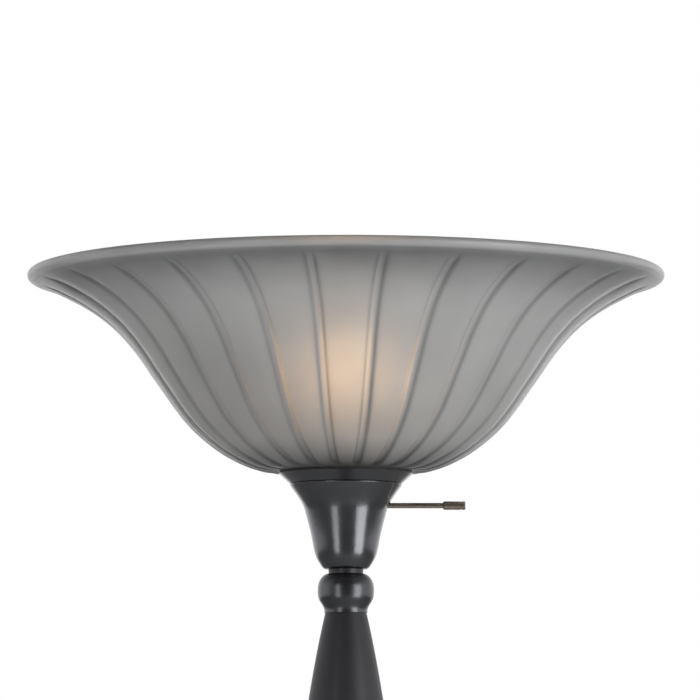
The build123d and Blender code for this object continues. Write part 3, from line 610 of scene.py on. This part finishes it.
# === Sub-assemblies ===================================================================================
@dataclass
class GlassBowl:
    """The fluted bowl: an ogee section with a rolled lip and narrow channels pressed into its outside.

    A share of the side is 0 at the seat and 1 at the lip.
    """

    flutes: int = 26
    columns_per_flute: int = 24
    crowding: float = 0.78
    side_points: int = 76
    inner_first: int = 4
    inner_step: int = 2
    lip_points: int = 15
    floor_points: int = 7
    wall: float = 4.0 * MM
    lip_radius: float = 3.0 * MM
    lip_start_angle: float = -80.0
    lip_end_angle: float = 175.0
    channel_half_width: float = 2.4 * MM
    channel_depth: float = 1.5 * MM
    channel_sharpness: int = 6
    narrow_share: float = 0.75
    widening: float = 0.4
    fade_end: float = 0.985
    fade_span: float = 0.11
    seat_fade: float = 0.02
    pillow: float = 1.3 * MM
    pillow_fullness: float = 0.8
    even_radius: float = 150.0 * MM
    inner_echo: float = 0.12
    inner_end: float = 0.9
    inner_span: float = 0.2
    # painted shade: a little on the plain side, more under the lip and by the seat
    plain_smoke: float = 0.1
    rim_smoke: float = 0.72
    rim_smoke_start: float = 0.72
    rim_smoke_span: float = 0.24
    seat_smoke: float = 1.3
    seat_smoke_span: float = 0.22
    seat_radius: float = 44.1 * MM
    hole_radius: float = 20.0 * MM
    side: tuple[tuple[float, float], ...] = (
        (0.000, 0.000),
        (0.071, 0.008),
        (0.199, 0.075),
        (0.331, 0.203),
        (0.498, 0.482),
        (0.583, 0.641),
        (0.665, 0.761),
        (0.767, 0.864),
        (0.870, 0.938),
        (1.000, 1.000),
    )

    def outside(self, count: int) -> np.ndarray:
        """The outer side from the seat to the lip, as shares of the span and rise that the node has."""
        low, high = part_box("glass_shade")
        span = high.x - self.lip_radius - self.seat_radius
        rise = high.z - low.z - 2 * self.lip_radius
        corners = np.array(self.side) * [span, rise] + [self.seat_radius, low.z]
        return smooth_line(corners, count)

    def section(self) -> tuple[np.ndarray, np.ndarray, np.ndarray, np.ndarray]:
        """The closed section and how each of its points takes the flutes and the painted shade.

        Returns:
            The points in (radius, height), their normals out of the glass, weights of 1 on the outer
            side, a small share on the inner side and 0 at the lip and the floor, and how much painted
            shade each point takes, which is most by the seat and under the lip.
        """
        outer = self.outside(self.side_points)
        normals = line_normals(outer)
        inner = (outer - normals * self.wall)[::-1][self.inner_first :: self.inner_step]
        low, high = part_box("glass_shade")
        centre = (high.x - self.lip_radius, high.z - self.lip_radius)
        lip = arc_line(
            centre, self.lip_radius, self.lip_start_angle, self.lip_end_angle, self.lip_points
        )
        hole, seat = (self.hole_radius, low.z), (self.seat_radius, low.z)
        floor_out = np.linspace(hole, seat, self.floor_points)[:-1]
        top = low.z + self.wall
        corner, edge = (inner[-1, 0], top), (self.hole_radius, top)
        floor_in = np.linspace(corner, edge, self.floor_points + 1)[1:]
        points = np.concatenate([floor_out, outer[:-1], lip, inner, floor_in])
        share = np.linspace(0.0, 1.0, len(outer))[:-1]
        fade = np.clip((self.fade_end - share) / self.fade_span, 0, 1)
        start = np.clip(share / self.seat_fade, 0, 1)
        weight = np.zeros(len(points))
        begin = len(floor_out)
        weight[begin : begin + len(share)] = start * fade * fade * (3 - 2 * fade)
        back = begin + len(share) + len(lip)
        inner_share = np.linspace(1.0, 0.0, len(inner))
        echo = np.clip((self.inner_end - inner_share) / self.inner_span, 0, 1)
        weight[back : back + len(inner)] = -self.inner_echo * echo
        # painted shade: full on the floor, and ramps under the lip and by the seat on both faces of the wall
        shade_share = np.full(len(points), self.plain_smoke)
        shade_share[:begin] = 1.0
        shade_share[begin : begin + len(share)] = self.smoke_at(share)
        shade_share[back : back + len(inner)] = self.smoke_at(inner_share)
        shade_share[back + len(inner) :] = 1.0
        closed = np.concatenate([points[-1:], points, points[:1]])
        return points, line_normals(closed)[1:-1], weight, shade_share

    def smoke_at(self, share: np.ndarray) -> np.ndarray:
        """How much painted shade a share of the side takes, under the lip and by the seat: two ramps, raised
        to 1.5 and to 1.2.
        """
        rim = np.clip((share - self.rim_smoke_start) / self.rim_smoke_span, 0, 1)
        seat = np.clip((self.seat_smoke_span - share) / self.seat_smoke_span, 0, 1)
        return self.rim_smoke * rim**1.5 + self.seat_smoke * seat**1.2

    def build(self, wardrobe: Wardrobe) -> bpy.types.Object:
        """Makes the bowl: each section point moves along its normal by a channel and a pillow.

        The channel is depth times 1 / (1 + (d / w)^6), where d is the distance round the bowl from
        the channel's middle line and w is its half width, which grows a little with the radius. The
        pillow is height times the sine of the flute's share, raised to 0.8. Each vertex also keeps a
        painted shade mark of 4 c (1 - c), for c the channel's share of its depth: 1 on its sides, 0
        elsewhere.

        Args:
            wardrobe: where the finish comes from.

        Returns:
            The bowl, which stands for its plain node.
        """
        points, normals, weight, shade_share = self.section()
        step = np.arange(self.columns_per_flute) / self.columns_per_flute
        crowded = step - self.crowding * np.sin(2 * np.pi * step) / (2 * np.pi)
        pitch = 2 * np.pi / self.flutes
        angle = (np.arange(self.flutes)[:, None] + crowded[None, :]).ravel() * pitch
        share = np.tile(crowded, self.flutes)
        from_middle = np.minimum(share, 1 - share) * pitch
        radius = points[:, :1]
        distance = radius * from_middle[None, :]
        grown = self.narrow_share + self.widening * radius / self.even_radius
        half_width = self.channel_half_width * grown
        share_deep = 1 / (1 + (distance / half_width) ** self.channel_sharpness)
        bulge = np.abs(np.sin(np.pi * share))[None, :] ** self.pillow_fullness
        swell = bulge * np.clip(radius / self.even_radius, 0, 1)
        push = weight[:, None] * (self.pillow * swell - self.channel_depth * share_deep)
        around = radius + normals[:, :1] * push
        height = points[:, 1:] + normals[:, 1:] * push
        grid = np.stack([around * np.cos(angle), around * np.sin(angle), height], axis=-1)
        bowl = grid_mesh("fluted_bowl", grid)
        # painted shade on the channel sides, and under the lip and by the seat, kept per vertex for the
        # glass finish
        channel_wall_shade = 4 * share_deep * (1 - share_deep) * np.clip(weight, 0, 1)[:, None]
        for label, values in (("pressed_edge", channel_wall_shade), ("thick_smoke", shade_share[:, None] + 0 * channel_wall_shade)):
            mark = bowl.data.attributes.new(label, "FLOAT", "POINT")
            mark.data.foreach_set("value", values.astype(np.float32).ravel())
        wardrobe.dress(bowl, Slot.SMOKE_GLASS)
        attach(bowl, "lamp")
        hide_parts("glass_shade")
        log.info("fluted_bowl: %d flutes, %d faces", self.flutes, len(bowl.data.polygons))
        return bowl


@dataclass
class PackedNodes:
    """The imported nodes, which keep their shape and get their finishes."""

    subparts: list[dict[str, object]]

    def dress(self, wardrobe: Wardrobe) -> None:
        """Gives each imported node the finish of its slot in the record."""
        slots = {slot.slot_name: slot for slot in Slot}
        for part in self.subparts:
            slot = slots[part["material_slot"]]
            wardrobe.dress(frame["nodes"][part["node"]], slot)
            log.info("%s: %s", part["node"], slot.slot_name)


@dataclass(frozen=True)
class SoftBox:
    """A rectangular light that faces the lamp: where it stands, its width and height, and its watts."""

    name: str
    location: Point
    size: tuple[float, float]
    power: float
    aim_height: float = 1.6

    def build(self) -> None:
        """Makes the light."""
        data = bpy.data.lights.new(self.name, "AREA")
        data.shape = "RECTANGLE"
        data.size, data.size_y = self.size
        data.energy = self.power
        light = bpy.data.objects.new(self.name, data)
        light.location = self.location
        light.rotation_mode = "QUATERNION"
        aim = Vector((0.0, 0.0, self.aim_height)) - light.location
        light.rotation_quaternion = aim.to_track_quat("-Z", "Y")
        bpy.context.scene.collection.objects.link(light)


@dataclass
class Studio:
    """Pale floor, soft boxes and the camera."""

    camera_distance: float = 3.5
    camera_height: float = 1.397
    aim_height: float = 1.7488
    aim_side: float = 0.0027
    lens: float = 274.4
    sensor_width: float = 36.0
    floor_size: float = 14.0
    floor_dark: Colour = (0.60, 0.60, 0.60)
    floor_light: Colour = (0.64, 0.64, 0.64)
    side_light: float = 1.15
    front_light: float = 0.06
    front_edge: tuple[float, float] = (-0.72, -0.12)
    top_light: float = 0.20
    top_edge: tuple[float, float] = (0.15, 0.80)
    boxes: tuple[SoftBox, ...] = (
        SoftBox("box_left", (-1.5, -2.3, 1.35), (0.8, 2.5), 18.0),
        SoftBox("box_right", (2.1, -1.8, 1.35), (1.5, 2.5), 52.0),
    )

    def camera(self) -> None:
        """A long lens a little below the bowl, looking slightly up at it."""
        data = bpy.data.cameras.new("camera")
        data.lens = self.lens
        data.sensor_width = self.sensor_width
        data.clip_start, data.clip_end = 0.05, 60.0
        camera = bpy.data.objects.new("camera", data)
        camera.location = (0.0, -self.camera_distance, self.camera_height)
        aim = Vector((self.aim_side, 0.0, self.aim_height)) - camera.location
        camera.rotation_mode = "QUATERNION"
        camera.rotation_quaternion = aim.to_track_quat("-Z", "Y")
        bpy.context.scene.collection.objects.link(camera)
        bpy.context.scene.camera = camera

    def world(self) -> None:
        """A white surround that is plain white to the camera.

        As light it is white at the sides and behind, at the height of the bowl. It falls off towards
        the camera's side, where the room is dark, and overhead.
        """
        world = bpy.data.worlds.new("studio")
        bpy.context.scene.world = world
        world.use_nodes = True
        tree = world.node_tree
        tree.nodes.clear()

        def add(kind: str, *sources: object, **settings: object) -> bpy.types.Node:
            """Adds a node and links or sets its inputs in order."""
            node = tree.nodes.new(kind)
            for name, value in settings.items():
                setattr(node, name, value)
            for socket, source in zip(node.inputs, sources):
                if isinstance(source, bpy.types.NodeSocket):
                    tree.links.new(source, socket)
                else:
                    socket.default_value = source
            return node

        way = add("ShaderNodeSeparateXYZ", add("ShaderNodeTexCoord").outputs["Generated"]).outputs
        ramp = {"interpolation_type": "SMOOTHSTEP"}
        behind = add("ShaderNodeMapRange", way["Y"], *self.front_edge, self.front_light, 1.0, **ramp)
        above = add("ShaderNodeMapRange", way["Z"], *self.top_edge, 1.0, self.top_light, **ramp)
        both = add("ShaderNodeMath", behind.outputs[0], above.outputs[0], operation="MULTIPLY")
        strength = add("ShaderNodeMath", both.outputs[0], self.side_light, operation="MULTIPLY")
        lamp = add("ShaderNodeBackground", (1.0, 1.0, 1.0, 1.0), strength.outputs[0])
        backdrop = add("ShaderNodeBackground", (1.0, 1.0, 1.0, 1.0), 1.0)
        seen = add("ShaderNodeLightPath").outputs["Is Camera Ray"]
        mix = add("ShaderNodeMixShader", seen, lamp.outputs[0], backdrop.outputs[0])
        add("ShaderNodeOutputWorld", mix.outputs[0])

    def floor(self) -> None:
        """A plain pale floor under the felt."""
        half = self.floor_size / 2
        corners = [(-half, -half, 0.0), (half, -half, 0.0), (half, half, 0.0), (-half, half, 0.0)]
        mesh = bpy.data.meshes.new("floor")
        mesh.from_pydata(corners, [], [(0, 1, 2, 3)])
        piece = bpy.data.objects.new("floor", mesh)
        bpy.context.scene.collection.objects.link(piece)
        graph = Graph("floor_paint")
        tone = graph.tint(graph.noise(3.0), self.floor_dark, self.floor_light)
        mesh.materials.append(graph.surface(Base_Color=tone, Roughness=0.8))

    def build(self) -> None:
        """Sets up the whole studio."""
        bpy.context.scene.view_settings.view_transform = "Standard"
        self.camera()
        self.world()
        self.floor()
        for box in self.boxes:
            box.build()


def main() -> None:
    """Builds the studio and the lamp, sub-assembly by sub-assembly."""
    logging.basicConfig(level=logging.INFO, format="%(name)s: %(message)s")
    Studio().build()
    wardrobe = Wardrobe()
    PackedNodes(frame["record"]["subparts"]).dress(wardrobe)
    GlassBowl().build(wardrobe)


if __name__ == "__main__":
    main()
